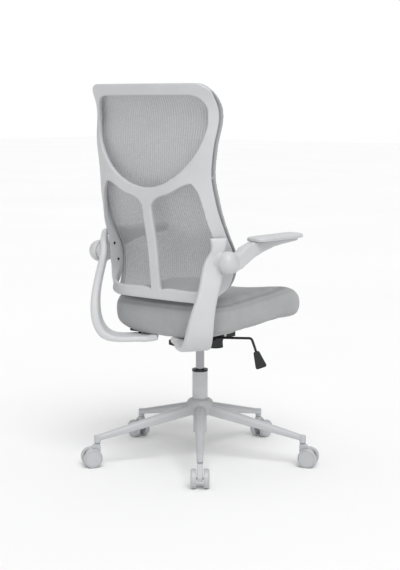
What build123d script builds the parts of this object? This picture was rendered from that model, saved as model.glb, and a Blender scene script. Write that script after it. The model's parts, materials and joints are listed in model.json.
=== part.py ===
"""High-back mesh office chair with flip-up arms, five-star base, gas lift and tilt mechanism.

Millimetres, +Z up, origin on the floor under the column axis. The chair faces -Y, so the sitter's
right-hand side is -X. Every piece is written to parts/ as one STEP file.
"""

from build123d import *
import math
import os

import numpy as np

# ---- base and column -----------------------------------------------------------------------------
LEG_COUNT = 5
FIRST_LEG = 130.0  # direction of the first leg from +X, degrees
STEM_CIRCLE = 345.0  # column axis to caster stem
LEG_ROOT = 34.0  # where a leg leaves the hub
LEG_ROOT_SIZE = (37.0, 37.0, 184.0)  # width, depth, top height
LEG_TIP_SIZE = (21.0, 18.0, 101.0)
POST_BOTTOM = 75.0
HUB_TOP = 199.0
HUB_BOTTOM = 86.0
TUBE_RADIUS = 25.0
TUBE_TAPER_RADIUS = 19.0
TUBE_TOP = 289.0
COLLAR_TOP = 296.0
CYLINDER_RADIUS = 14.0
CYLINDER_BOTTOM = 188.0
CYLINDER_TOP = 396.0
ROD_RADIUS = 5.0
RUNNING = 0.05  # radial clearance of a shaft in its hole

# ---- casters -------------------------------------------------------------------------------------
WHEEL_RADIUS = 30.0
WHEEL_INNER = 11.25  # middle of the caster to the wheel's inner face
WHEEL_OUTER = 28.25
TRAIL = 19.0  # stem axis to wheel axle
AXLE_RADIUS = 3.0
STEM_RADIUS = 5.5
HOOD_HALF = 8.5

# ---- tilt mechanism --------------------------------------------------------------------------------
PIVOT_Y, PIVOT_Z = -45.0, 408.0
PIVOT_RADIUS = 6.0
HOUSING_HALF = 60.0
WALL = 4.0
KNOB_Y = -78.0
KNOB_RADIUS = 26.0
KNOB_BOTTOM, KNOB_TOP = 356.0, 394.0
BOLT_RADIUS = 5.0
BUTTON_RADIUS = 4.0
BUTTON_TOP = 400.0
LEVER_RADIUS = 4.0
LEVER_PIVOT_X, LEVER_Z = -40.0, 404.6
LEVER_PIN_RADIUS = 2.0

# ---- seat -------------------------------------------------------------------------------------------
SEAT_PITCH = 4.5  # degrees, front raised
SEAT_Z = 446.5  # underside of the seat above the column axis
SEAT_WIDTH = 490.0
SEAT_FRONT, SEAT_REAR = -275.0, 195.0
SEAT_CORNER = 88.0
SEAT_HEIGHT = 112.0
PAN_INSET, PAN_THICK = 24.0, 12.0
BRACKET_THICK = 5.0

# ---- back -------------------------------------------------------------------------------------------
BACK_TOP, BACK_BOTTOM = 1211.0, 547.0
SHELL_THICK = 14.0
CARRIER_DEPTH, CARRIER_WIDTH = 8.0, 15.0
MESH_THICK = 3.0
MESH_GAP = 0.5
# Height; depth at the middle, half width, depth at the edge and corner power of the shell's rear
# face; depth at the middle and at the edge of the mesh carrier's rear face.
BACK_STATIONS = [
    (1222, 279, 243, 252, 4.4, 260, 234),
    (1185, 271, 243, 238, 4.4, 253, 221),
    (1146, 262, 248, 216, 4.4, 240, 199),
    (1105, 259, 250, 210, 4.4, 232, 195),
    (1043, 261, 243, 221, 4.4, 230, 206),
    (985, 262, 234, 223, 4.4, 230, 208),
    (919, 262, 230, 219, 4.6, 226, 204),
    (877, 261, 234, 211, 5.0, 219, 196),
    (828, 256, 237, 196, 6.0, 203, 183),
    (790, 249, 240, 179, 7.5, 187, 168),
    (750, 240, 240, 157, 9.0, 165, 148),
    (700, 231, 240, 127, 12.0, 136, 120),
    (645, 225, 239, 121, 12.0, 128, 114),
    (605, 220, 234, 134, 10.0, 140, 125),
    (575, 217, 226, 162, 7.0, 168, 149),
    (538, 213, 214, 188, 5.0, 186, 169),
]

# ---- uprights and arms --------------------------------------------------------------------------------
UPRIGHT_TURN = 38.0  # plan angle of an upright's flat faces, degrees
# Distance out and distance back in the turned plan, height, width and thickness of each section.
UPRIGHT_STATIONS = [
    (301, 8, 752, 56, 20),
    (306, 18, 690, 58, 22),
    (320, 38, 610, 66, 24),
    (331, 60, 535, 72, 26),
    (328, 70, 478, 82, 28),
    (306, 74, 430, 88, 28),
    (262, 77, 408, 92, 28),
    (205, 78, 407, 92, 30),
    (130, 78, 418, 92, 38),
]
ARM_PIVOT_Y, ARM_PIVOT_Z = 187.0, 680.0
ARM_INNER, ARM_OUTER = 256.0, 290.0
KNUCKLE_RADIUS = 31.0
ARM_PIN_RADIUS = 6.0
PAD_INNER, PAD_OUTER = 243.0, 317.0
PAD_FRONT, PAD_REAR = -140.0, 120.0
PAD_BOTTOM, PAD_TOP = 734.0, 748.0

LOW = (Align.CENTER, Align.CENTER, Align.MIN)

os.makedirs("parts", exist_ok=True)


def save(part, label):
    """Label a finished piece and write its STEP file."""
    part.label = label
    export_step(part, f"parts/{label}.step")


def seat_plane(rise=0.0):
    """The plane of the seat's underside, raised by rise along its own normal."""
    pitch = math.radians(SEAT_PITCH)
    plane = Plane(origin=(0, 0, SEAT_Z), x_dir=(1, 0, 0), z_dir=(0, math.sin(pitch), math.cos(pitch)))
    return plane.offset(rise)


def sleeve(outer, inner, bottom, top):
    """A plain ring about the column axis."""
    with BuildPart() as ring:
        with BuildSketch(Plane.XY.offset(bottom)):
            Circle(outer)
            Circle(inner, mode=Mode.SUBTRACT)
        extrude(amount=top - bottom)
    return ring.part


# ====================================================================================================
# Base
# ====================================================================================================
def leg_frames():
    """For each leg, a plane on the column axis that looks out along the leg, its y axis upwards."""
    frames = []
    for i in range(LEG_COUNT):
        turn = math.radians(FIRST_LEG + 360 / LEG_COUNT * i)
        out, side = (math.cos(turn), math.sin(turn), 0), (-math.sin(turn), math.cos(turn), 0)
        frames.append(Plane(origin=(0, 0, 0), x_dir=side, z_dir=out))
    return frames


def leg_section(plane, width, depth, top):
    """A leg's section: upright sides under a half-round top."""
    half, shoulder = width / 2, top - width / 2
    with BuildSketch(plane) as section:
        with BuildLine():
            Polyline((-half, shoulder), (-half, top - depth), (half, top - depth), (half, shoulder))
            ThreePointArc((half, shoulder), (0, top), (-half, shoulder))
        make_face()
    return section.sketch


def make_base_star():
    """The five legs with their caster posts, the hub and the sleeve under it."""
    sleeve_bore = TUBE_TAPER_RADIUS
    with BuildPart() as star:
        with BuildSketch(Plane.XZ):
            with BuildLine():
                Polyline(
                    (0, HUB_BOTTOM), (21.5, HUB_BOTTOM), (21.5, 140), (41, 152), (43, 187),
                    (37, 196), (29, HUB_TOP), (0, HUB_TOP), (0, HUB_BOTTOM),
                )
            make_face()
        revolve(axis=Axis.Z)
        for frame in leg_frames():
            root = leg_section(frame.offset(LEG_ROOT), *LEG_ROOT_SIZE)
            tip = leg_section(frame.offset(STEM_CIRCLE), *LEG_TIP_SIZE)
            loft([root, tip])
        for frame in leg_frames():
            foot = frame.origin + frame.z_dir * STEM_CIRCLE + Vector(0, 0, POST_BOTTOM)
            with Locations(foot):
                Cylinder(LEG_TIP_SIZE[0] / 2, LEG_TIP_SIZE[2] - POST_BOTTOM, align=LOW)
                Cylinder(7.5, 20, align=LOW, mode=Mode.SUBTRACT)
        with BuildSketch(Plane.XZ):
            with BuildLine():
                Polyline(
                    (0, HUB_BOTTOM), (sleeve_bore, HUB_BOTTOM), (sleeve_bore, 150),
                    (TUBE_RADIUS, 185), (TUBE_RADIUS, HUB_TOP), (0, HUB_TOP), (0, HUB_BOTTOM),
                )
            make_face()
        revolve(axis=Axis.Z, mode=Mode.SUBTRACT)
    save(star.part, "base_star")


def make_stem_sleeves():
    """The steel sleeve pressed into each caster post."""
    with BuildPart() as sleeves:
        for frame in leg_frames():
            with Locations(frame.origin + frame.z_dir * STEM_CIRCLE + Vector(0, 0, POST_BOTTOM)):
                Cylinder(7.5, 20, align=LOW)
                Cylinder(STEM_RADIUS + RUNNING, 20, align=LOW, mode=Mode.SUBTRACT)
    save(sleeves.part, "stem_sleeves")


def make_column():
    """The fixed outer tube with its guide bush, top collar and thrust bearing."""
    with BuildPart() as tube:
        with BuildSketch(Plane.XZ):
            with BuildLine():
                Polyline(
                    (ROD_RADIUS + RUNNING, 88), (TUBE_TAPER_RADIUS, 88), (TUBE_TAPER_RADIUS, 150),
                    (TUBE_RADIUS, 185), (TUBE_RADIUS, TUBE_TOP), (TUBE_RADIUS - 2, TUBE_TOP),
                    (TUBE_RADIUS - 2, 187), (TUBE_TAPER_RADIUS - 2, 152), (TUBE_TAPER_RADIUS - 2, 91),
                    (ROD_RADIUS + RUNNING, 91), (ROD_RADIUS + RUNNING, 88),
                )
            make_face()
        revolve(axis=Axis.Z)
    save(tube.part, "column_tube")
    save(sleeve(TUBE_RADIUS - 2, CYLINDER_RADIUS + RUNNING, 216, TUBE_TOP), "column_bush")
    save(sleeve(TUBE_RADIUS + 0.8, CYLINDER_RADIUS + 0.6, TUBE_TOP, COLLAR_TOP), "column_collar")
    save(sleeve(12, ROD_RADIUS + 0.4, 91, 97), "thrust_bearing")


def make_gas_lift():
    """The piston rod, the sliding cylinder and the release button in its top."""
    with BuildPart() as rod:
        with Locations((0, 0, 79)):
            Cylinder(ROD_RADIUS, 143, align=LOW)
        with Locations((0, 0, 81)):
            Cylinder(9, 3, align=LOW)
        with Locations((0, 0, 212)):
            Cylinder(11.4, 10, align=LOW)
    save(rod.part, "piston_rod")
    with BuildPart() as cylinder:
        with Locations((0, 0, CYLINDER_BOTTOM)):
            Cylinder(CYLINDER_RADIUS, CYLINDER_TOP - CYLINDER_BOTTOM, align=LOW)
            Cylinder(ROD_RADIUS + RUNNING, 6, align=LOW, mode=Mode.SUBTRACT)
        with Locations((0, 0, CYLINDER_BOTTOM + 6)):
            Cylinder(11.8, 174, align=LOW, mode=Mode.SUBTRACT)
        with Locations((0, 0, 380)):
            Cylinder(BUTTON_RADIUS + RUNNING, 20, align=LOW, mode=Mode.SUBTRACT)
    save(cylinder.part, "gas_cylinder")
    with BuildPart() as button:
        with Locations((0, 0, 386)):
            Cylinder(BUTTON_RADIUS, BUTTON_TOP - 386, align=LOW)
        chamfer(button.faces().sort_by(Axis.Z)[-1].edges(), 0.8)
    save(button.part, "release_button")


# ====================================================================================================
# Casters
# ====================================================================================================
def make_caster(index, frame):
    """One twin-wheel caster: stem, hood, axle and two wheels, its trail turned outwards."""
    stem_foot = frame.z_dir * STEM_CIRCLE
    hub = stem_foot + frame.z_dir * TRAIL + Vector(0, 0, WHEEL_RADIUS)
    with BuildPart() as stem:
        with Locations(stem_foot + Vector(0, 0, 54)):
            Cylinder(STEM_RADIUS, 38, align=LOW)
        with Locations(stem_foot + Vector(0, 0, 72.6)):
            Cylinder(9, 2, align=LOW)
    save(stem.part, f"caster_stem_{index}")

    side = Plane(origin=stem_foot, x_dir=frame.z_dir, z_dir=frame.x_dir)
    up = 1 if side.y_dir.Z > 0 else -1
    outline = [(-9.5, 72.6), (9.5, 72.6), (22, 61), (34, 50), (40.5, 36), (40, 25), (12, 22), (4, 34), (-9.5, 47)]
    with BuildPart() as hood:
        with BuildSketch(side.offset(-HOOD_HALF)):
            with BuildLine():
                Polyline(*[(x, up * z) for x, z in outline], close=True)
            make_face()
        extrude(amount=2 * HOOD_HALF)
        fillet(hood.edges().filter_by(Axis(hub, frame.x_dir)), 3)
        with Locations(stem_foot + Vector(0, 0, 54)):
            Cylinder(STEM_RADIUS, 20, align=LOW, mode=Mode.SUBTRACT)
        with Locations(Plane(origin=hub, z_dir=frame.x_dir)):
            Cylinder(AXLE_RADIUS, 2 * HOOD_HALF + 2, mode=Mode.SUBTRACT)
    save(hood.part, f"caster_hood_{index}")

    with BuildPart() as axle:
        with Locations(Plane(origin=hub, z_dir=frame.x_dir)):
            Cylinder(AXLE_RADIUS, 2 * WHEEL_OUTER - 6)
    save(axle.part, f"caster_axle_{index}")

    for name, sign in (("left", 1), ("right", -1)):
        bore, rim = AXLE_RADIUS + RUNNING, WHEEL_RADIUS
        profile = Plane(origin=hub, x_dir=frame.z_dir, z_dir=(0, 0, -1) if sign > 0 else (0, 0, 1))
        with BuildPart() as wheel:
            with BuildSketch(profile):
                with BuildLine():
                    Polyline(
                        (bore, WHEEL_INNER), (9, WHEEL_INNER), (9, 17), (24, 17), (24, WHEEL_INNER),
                        (rim - 2, WHEEL_INNER), (rim, WHEEL_INNER + 2), (rim, WHEEL_OUTER - 4),
                        (rim - 3, WHEEL_OUTER), (26, WHEEL_OUTER), (25.3, WHEEL_OUTER - 1.2),
                        (24.6, WHEEL_OUTER), (10, WHEEL_OUTER + 0.8), (0, WHEEL_OUTER + 1), (0, 25.6),
                        (bore, 25.6), (bore, WHEEL_INNER),
                    )
                make_face()
            revolve(axis=Axis(hub, frame.x_dir))
        save(wheel.part, f"caster_wheel_{name}_{index}")


# ====================================================================================================
# Mechanism
# ====================================================================================================
def make_housing():
    """The open-topped tilt housing with the column socket and the lever's guide block."""
    outline = [(-112, 396), (-112, 428), (-58, 430), (88, 394), (88, 381), (62, 372), (-34, 372), (-48, 396)]
    cavity = [(-108, 400), (-108, 440), (84, 440), (84, 384), (60, 376), (-31, 376), (-45, 400)]
    with BuildPart() as housing:
        with BuildSketch(Plane.YZ.offset(-HOUSING_HALF)):
            with BuildLine():
                Polyline(*outline, close=True)
            make_face()
        extrude(amount=2 * HOUSING_HALF)
        fillet(housing.edges().filter_by(Axis.Z), 5)
        with BuildSketch(Plane.YZ.offset(-HOUSING_HALF + WALL)):
            with BuildLine():
                Polyline(*cavity, close=True)
            make_face()
        extrude(amount=2 * (HOUSING_HALF - WALL), mode=Mode.SUBTRACT)
        with Locations((0, 0, 361)):
            Cylinder(24, CYLINDER_TOP - 361, align=LOW)
            Cylinder(CYLINDER_RADIUS, CYLINDER_TOP - 361, align=LOW, mode=Mode.SUBTRACT)
        with Locations((-42, 0, 376)):
            Box(28, 28, 19.8, align=LOW)
        with Locations((-HOUSING_HALF, 0, LEVER_Z)):
            Box(12, 16, 14, mode=Mode.SUBTRACT)
        with Locations(Plane(origin=(0, PIVOT_Y, PIVOT_Z), z_dir=(1, 0, 0))):
            Cylinder(PIVOT_RADIUS, 130, mode=Mode.SUBTRACT)
        with Locations((0, KNOB_Y, 390)):
            Cylinder(BOLT_RADIUS, 20, align=LOW, mode=Mode.SUBTRACT)
    save(housing.part, "mechanism_housing")
    with BuildPart() as pin:
        with Locations(Plane(origin=(0, PIVOT_Y, PIVOT_Z), z_dir=(1, 0, 0))):
            Cylinder(PIVOT_RADIUS, 140)
        chamfer(pin.edges(), 0.8)
    save(pin.part, "tilt_pin")


def make_tension():
    """The tension bolt, its spring and the knob that turns on it."""
    with BuildPart() as bolt:
        with Locations((0, KNOB_Y, 359)):
            Cylinder(9, 4, align=LOW)
            Cylinder(BOLT_RADIUS, 61, align=LOW)
        with Locations((0, KNOB_Y, 416)):
            Cylinder(12, 4, align=LOW)
    save(bolt.part, "tension_bolt")
    with BuildPart() as spring:
        with BuildLine(Plane.XY.offset(402).shift_origin((0, KNOB_Y, 402))):
            coil = Helix(pitch=4.4, height=12, radius=9)
        with BuildSketch(Plane(origin=coil @ 0, z_dir=coil % 0)):
            Circle(1.6)
        sweep(path=coil, is_frenet=True)
    save(spring.part, "tension_spring")
    with BuildPart() as knob:
        with Locations((0, KNOB_Y, KNOB_BOTTOM)):
            Cone(KNOB_RADIUS, KNOB_RADIUS - 2, KNOB_TOP - KNOB_BOTTOM, align=LOW)
        with Locations((0, KNOB_Y, KNOB_BOTTOM - 1)):
            with PolarLocations(KNOB_RADIUS + 2.2, 14):
                Cylinder(3.4, 60, align=LOW, mode=Mode.SUBTRACT)
        fillet(knob.edges().filter_by(GeomType.CIRCLE).group_by(Axis.Z)[0], 1)
        with Locations((0, KNOB_Y, KNOB_BOTTOM)):
            Cylinder(9.4, 7.4, align=LOW, mode=Mode.SUBTRACT)
            Cylinder(BOLT_RADIUS + RUNNING, 50, align=LOW, mode=Mode.SUBTRACT)
    save(knob.part, "tension_knob")


def make_lever():
    """The lift and tilt-lock lever: sliding carrier, its pin, the bent rod and the grip paddle."""
    with BuildPart() as carrier:
        with Locations((LEVER_PIVOT_X, 0, 396)):
            Box(14, 20, 16, align=LOW)
        with Locations((LEVER_PIVOT_X, 0, 399.4)):
            Box(20, 2 * LEVER_RADIUS + 1.2, 20, align=LOW, mode=Mode.SUBTRACT)
        with Locations(Plane(origin=(LEVER_PIVOT_X, 0, LEVER_Z), z_dir=(0, 1, 0))):
            Cylinder(LEVER_PIN_RADIUS, 30, mode=Mode.SUBTRACT)
    save(carrier.part, "lever_carrier")
    with BuildPart() as pin:
        with Locations(Plane(origin=(LEVER_PIVOT_X, 0, LEVER_Z), z_dir=(0, 1, 0))):
            Cylinder(LEVER_PIN_RADIUS, 20)
    save(pin.part, "lever_pin")
    with BuildPart() as rod:
        with BuildLine():
            path = FilletPolyline(
                (13, 0, LEVER_Z), (-58, 0, LEVER_Z), (-196, -20, 415), (-219, -26, 352), radius=(30, 11),
            )
        with BuildSketch(Plane(origin=path @ 0, z_dir=path % 0)):
            Circle(LEVER_RADIUS)
        sweep()
        with Locations(Plane(origin=(LEVER_PIVOT_X, 0, LEVER_Z), z_dir=(0, 1, 0))):
            Cylinder(LEVER_PIN_RADIUS + RUNNING, 30, mode=Mode.SUBTRACT)
    rod_end = path @ 1
    rod_out = (path % 1).normalized()
    across = rod_out.cross(Vector(math.sin(math.radians(40)), -math.cos(math.radians(40)), 0)).normalized()
    face = rod_out.cross(across).normalized()
    grip = Plane(origin=rod_end - rod_out * 4, x_dir=across, z_dir=face)
    down = 1 if grip.y_dir.dot(rod_out) > 0 else -1
    with BuildPart() as paddle:
        with BuildSketch(grip.offset(-6)):
            with BuildLine():
                Polyline((-9, -20 * down), (9, -20 * down), (19, 36 * down), (-19, 36 * down), close=True)
            make_face()
        extrude(amount=12)
        fillet(paddle.edges().filter_by(Axis(grip.origin, face)), 6)
        fillet(paddle.faces().sort_by(Axis(grip.origin, face))[-1].edges(), 2)
        fillet(paddle.faces().sort_by(Axis(grip.origin, face))[0].edges(), 2)
        add(rod.part, mode=Mode.SUBTRACT)
    save(rod.part, "lever_rod")
    save(paddle.part, "lever_paddle")


# ====================================================================================================
# Seat
# ====================================================================================================
def seat_outline(inset):
    """The seat's rounded plan in the plane of its underside, shrunk by inset."""
    with BuildSketch(seat_plane()) as outline:
        with Locations((0, (SEAT_FRONT + SEAT_REAR) / 2)):
            RectangleRounded(
                SEAT_WIDTH - 2 * inset, SEAT_REAR - SEAT_FRONT - 2 * inset, SEAT_CORNER - inset / 2,
            )
    return outline.sketch


def bracket_bolt_places():
    return [(x, y) for x in (-96, 96) for y in (-108, -10)]


def upright_bolt_places():
    """Plan positions, in the seat plane, of the three bolts through each upright's leg."""
    turn = math.radians(UPRIGHT_TURN)
    spots = []
    for out, back in ((150, 50), (150, 82), (192, 56)):
        x = out * math.cos(turn) - back * math.sin(turn)
        y = out * math.sin(turn) + back * math.cos(turn)
        spots += [(x, y), (-x, y)]
    return spots


def make_seat():
    """The bracket on the tilt pin, the seat pan, the cushion and the bolts between them."""
    with BuildPart() as bracket_bolts:
        with Locations(seat_plane(-BRACKET_THICK)):
            with Locations(*[(x, y, 0) for x, y in bracket_bolt_places()]):
                Cylinder(6, 4, align=(Align.CENTER, Align.CENTER, Align.MAX))
                Cylinder(3, BRACKET_THICK + 9, align=LOW)
    save(bracket_bolts.part, "bracket_bolts")
    with BuildPart() as upright_bolts:
        with Locations(seat_plane(-BRACKET_THICK)):
            with Locations(*[(x, y, 0) for x, y in upright_bolt_places()]):
                Cylinder(4, 24, align=(Align.CENTER, Align.CENTER, Align.MAX))
                Cylinder(4, BRACKET_THICK + 9, align=LOW)
            with Locations(*[(x, y, -24) for x, y in upright_bolt_places()]):
                Cylinder(7, 5, align=(Align.CENTER, Align.CENTER, Align.MAX))
    save(upright_bolts.part, "upright_bolts")

    flange = [(-84, 444), (-74, 424), (-58, 399), (-50, 396), (-40, 396), (-31, 401), (-18, 428), (38, 436), (60, 440)]
    with BuildPart() as bracket:
        with BuildSketch(seat_plane(-BRACKET_THICK)):
            with Locations((0, 20)):
                RectangleRounded(220, 290, 16)
            with Locations((0, 135)):
                RectangleRounded(316, 76, 16)
        extrude(amount=BRACKET_THICK)
        for x in (-HOUSING_HALF - 5, HOUSING_HALF + 1):
            with BuildSketch(Plane.YZ.offset(x)):
                with BuildLine():
                    Polyline(*flange, (60, SEAT_Z - 4), (-84, SEAT_Z + 5), close=True)
                make_face()
            extrude(amount=WALL)
        with BuildSketch(seat_plane()):
            Rectangle(400, 600)
        extrude(amount=20, mode=Mode.SUBTRACT)
        with Locations(Plane(origin=(0, PIVOT_Y, PIVOT_Z), z_dir=(1, 0, 0))):
            Cylinder(PIVOT_RADIUS + RUNNING, 150, mode=Mode.SUBTRACT)
        add(bracket_bolts.part, mode=Mode.SUBTRACT)
        add(upright_bolts.part, mode=Mode.SUBTRACT)
    save(bracket.part, "seat_bracket")

    with BuildPart() as pan:
        extrude(seat_outline(PAN_INSET), amount=PAN_THICK)
        add(bracket_bolts.part, mode=Mode.SUBTRACT)
        add(upright_bolts.part, mode=Mode.SUBTRACT)
    save(pan.part, "seat_pan")

    with BuildPart() as cushion:
        extrude(seat_outline(0), amount=SEAT_HEIGHT)
        flat = cushion.faces().filter_by(Axis((0, 0, 0), seat_plane().z_dir)).sort_by(Axis.Z)
        fillet(flat[-1].edges(), 34)
        flat = cushion.faces().filter_by(Axis((0, 0, 0), seat_plane().z_dir)).sort_by(Axis.Z)
        fillet(flat[0].edges(), 14)
        extrude(seat_outline(PAN_INSET), amount=PAN_THICK, mode=Mode.SUBTRACT)
    save(cushion.part, "seat_cushion")
    return upright_bolts.part


# ====================================================================================================
# Back
# ====================================================================================================
def spread(xs, ys, count):
    """Points at equal steps along a finely sampled curve, mirrored about x = 0."""
    along = np.concatenate([[0], np.cumsum(np.hypot(np.diff(xs), np.diff(ys)))])
    steps = np.linspace(0, along[-1], count)
    half = list(zip(np.interp(steps, along, xs).tolist(), np.interp(steps, along, ys).tolist()))
    return [(-x, y) for x, y in reversed(half[1:])] + half


def band(height, rear, front):
    """One horizontal section of a curved slab, between two open curves."""
    with BuildSketch(Plane.XY.offset(height)) as section:
        with BuildLine():
            Spline(*rear)
            Line(rear[-1], front[-1])
            Spline(*reversed(front))
            Line(front[0], rear[0])
        make_face()
    return section.sketch


def shell_slab():
    """The rear shell before its outline is cut: flat in the middle, turned forward at the sides."""
    sections = []
    with BuildPart() as slab:
        for height, middle, half, edge, power, _, _ in BACK_STATIONS:
            x = np.linspace(0, half, 600)
            y = middle - (middle - edge) * (x / half) ** power
            slope = -(middle - edge) * power * (x / half) ** (power - 1) / half
            length = np.hypot(1, slope)
            front = spread(x + SHELL_THICK * slope / length, y - SHELL_THICK / length, 8)
            sections.append(band(height, spread(x, y, 8), front))
        loft(sections)
    return slab.part


def mesh_slab(back_off, thickness, beyond):
    """A slab along the mesh, which bows gently across between the shell's front edges."""
    sections = []
    with BuildPart() as slab:
        for height, _, half, _, _, middle, edge in BACK_STATIONS:
            x = np.linspace(0, half + beyond, 200)
            y = middle - back_off - (middle - edge) * (x / (half + beyond)) ** 2
            sections.append(band(height, spread(x, y, 4), spread(x, y - thickness, 4)))
        loft(sections)
    return slab.part


def back_outline(inset):
    """The back's outline in elevation, waisted between shoulders and wings, shrunk by inset."""
    side = np.array([
        (190, BACK_TOP), (212, 1206), (231, 1192), (243, 1168), (249, 1136), (250, 1100), (243, 1043),
        (234, 985), (230, 919), (234, 877), (237, 828), (240, 770), (240, 700), (238, 650), (232, 614),
        (216, 580), (192, 557), (160, BACK_BOTTOM),
    ], float)
    run = np.gradient(side, axis=0)
    run[0], run[-1] = (1, 0), (-1, 0)
    inward = np.column_stack([run[:, 1], -run[:, 0]]) / np.hypot(run[:, 0], run[:, 1])[:, None]
    points = [tuple(p) for p in (side + inset * inward).tolist()]
    with BuildSketch() as outline:
        with BuildLine():
            Line((0, points[0][1]), points[0])
            Spline(*points)
            Line(points[-1], (0, points[-1][1]))
            mirror(about=Plane.YZ)
        make_face()
    return outline.sketch


def shell_outline():
    """The same outline with its sides left free, as the rear shell ends at its own turned edges."""
    with BuildSketch() as outline:
        with BuildLine():
            Polyline(
                (0, BACK_BOTTOM), (240, BACK_BOTTOM), (240, 640), (258, 690), (258, 1140), (247, 1158),
                (247, BACK_TOP), (0, BACK_TOP),
            )
            mirror(about=Plane.YZ)
        make_face()
        fillet(outline.vertices().filter_by(lambda v: v.Y < 560), 85)
        fillet(outline.vertices().filter_by(lambda v: v.Y > 1200), 50)
    return outline.sketch


def upper_opening():
    """The wide opening behind the shoulders: straight at the top and bowl-shaped below."""
    with BuildSketch() as opening:
        with BuildLine():
            Line((-172, 1175), (172, 1175))
            ThreePointArc((172, 1175), (208, 1160), (222, 1124))
            Spline(
                (222, 1124), (209, 1043), (161, 970), (72, 911), (0, 897), (-72, 911), (-161, 970),
                (-209, 1043), (-222, 1124),
            )
            ThreePointArc((-222, 1124), (-208, 1160), (-172, 1175))
        make_face()
    return opening.sketch


def lower_opening(side):
    """The opening between the spine and a wing."""
    points = [(18, 840), (45, 866), (92, 881), (145, 906), (172, 913)]
    with BuildSketch() as opening:
        with BuildLine():
            Spline(*[(side * x, z) for x, z in points])
            Spline((side * 172, 913), (side * 190, 890), (side * 205, 833), (side * 219, 750), (side * 221, 640))
            Spline((side * 221, 640), (side * 201, 600), (side * 150, 584), (side * 19, 577))
            Line((side * 19, 577), (side * 18, 840))
        make_face()
    return opening.sketch


def carrier_stubs():
    """Pegs that join the mesh carrier to the rear shell: across, height, rear end, length."""
    spots = [(118, 1200, 262, 22), (236, 1100, 218, 24), (222, 930, 224, 26), (232, 660, 134, 24), (110, 562, 208, 42)]
    with BuildPart() as stubs:
        for x, height, rear, length in spots:
            for side in (-1, 1):
                with Locations(Plane(origin=(side * x, rear, height), z_dir=(0, -1, 0))):
                    Cylinder(3.5, length, align=LOW)
    return stubs.part


def wing_screw_places():
    return [(172, 742), (172, 694)]


def make_wing_screws():
    """The screws that hold each wing to its upright, heads on the wing's inner face."""
    with BuildPart() as screws:
        for y, height in wing_screw_places():
            with Locations(Plane(origin=(211, y, height), z_dir=(1, 0, 0))):
                Cylinder(4.5, 3, align=LOW)
                Cylinder(2.5, 32, align=LOW)
        mirror(about=Plane.YZ)
    save(screws.part, "wing_screws")
    return screws.part


def make_back(slab, screws):
    """The rear shell with its three openings, the mesh carrier and the mesh."""
    carrier_slab = mesh_slab(0, CARRIER_DEPTH, 6)
    cloth_slab = mesh_slab(2.5, MESH_THICK, 6)
    outer, inner = back_outline(0), back_outline(CARRIER_WIDTH)
    with BuildPart() as rim:
        with BuildSketch(Plane.XZ):
            add(outer)
            add(inner, mode=Mode.SUBTRACT)
        extrude(amount=-300)
    ring = rim.part & carrier_slab
    with BuildPart() as carrier:
        add(ring)
        add(carrier_stubs())
    save(carrier.part, "mesh_carrier")

    with BuildPart() as field:
        with BuildSketch(Plane.XZ):
            add(back_outline(CARRIER_WIDTH + MESH_GAP))
        extrude(amount=-300)
        add(cloth_slab, mode=Mode.INTERSECT)
        add(carrier_stubs(), mode=Mode.SUBTRACT)
    save(field.part, "mesh_panel")

    with BuildPart() as shell:
        add(slab)
        with BuildSketch(Plane.XZ):
            add(shell_outline())
            add(upper_opening(), mode=Mode.SUBTRACT)
            add(lower_opening(1), mode=Mode.SUBTRACT)
            add(lower_opening(-1), mode=Mode.SUBTRACT)
        extrude(amount=-300, mode=Mode.INTERSECT)
        add(carrier_stubs(), mode=Mode.SUBTRACT)
        add(screws, mode=Mode.SUBTRACT)
    save(shell.part, "back_frame")


def upright_section(out, back, height, run):
    """The plane of one upright section: x along the upright's width, z along its run."""
    turn = math.radians(UPRIGHT_TURN)
    outward = Vector(math.cos(turn), math.sin(turn), 0)
    rearward = Vector(-math.sin(turn), math.cos(turn), 0)
    origin = outward * out + rearward * back + Vector(0, 0, height)
    return Plane(origin=origin, x_dir=rearward, z_dir=outward * run[0] + Vector(0, 0, run[1]))


def make_upright(side, slab, bolts, screws):
    """One J-shaped upright: its leg under the seat, the arm boss, and its face against the wing."""
    path = np.array([(s[0], s[2]) for s in UPRIGHT_STATIONS], float)
    runs = np.gradient(path, axis=0)
    runs[0] = (0, -1)
    runs[-1] = (-1, 0)
    with BuildPart() as upright:
        for (out, back, height, width, thick), run in zip(UPRIGHT_STATIONS, runs):
            with BuildSketch(upright_section(out, back, height, run.tolist())):
                RectangleRounded(width, thick, thick * 0.34)
        loft()
        with Locations(Plane(origin=(228, ARM_PIVOT_Y, ARM_PIVOT_Z), z_dir=(1, 0, 0))):
            Cylinder(KNUCKLE_RADIUS - 1, 27.4, align=LOW)
        with Locations((ARM_INNER - 0.6 + 30, ARM_PIVOT_Y, ARM_PIVOT_Z)):
            Box(60, 160, 200, mode=Mode.SUBTRACT)
        with Locations(Plane(origin=(236, ARM_PIVOT_Y, ARM_PIVOT_Z), z_dir=(1, 0, 0))):
            Cylinder(ARM_PIN_RADIUS, 40, align=LOW, mode=Mode.SUBTRACT)
        with BuildSketch(seat_plane(-BRACKET_THICK)):
            with Locations((0, 140)):
                Rectangle(320, 120)
        extrude(amount=60, mode=Mode.SUBTRACT)
        with Locations(seat_plane(-BRACKET_THICK - 24)):
            with Locations(*[(x, y, 0) for x, y in upright_bolt_places()]):
                Cylinder(8.5, 30, align=(Align.CENTER, Align.CENTER, Align.MAX), mode=Mode.SUBTRACT)
        add(slab, mode=Mode.SUBTRACT)
        add(bolts, mode=Mode.SUBTRACT)
        add(screws, mode=Mode.SUBTRACT)
    piece = upright.part.solids().sort_by(SortBy.VOLUME)[-1]
    if side == "right":
        piece = mirror(piece, about=Plane.YZ)
    save(piece, f"upright_{side}")


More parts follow.
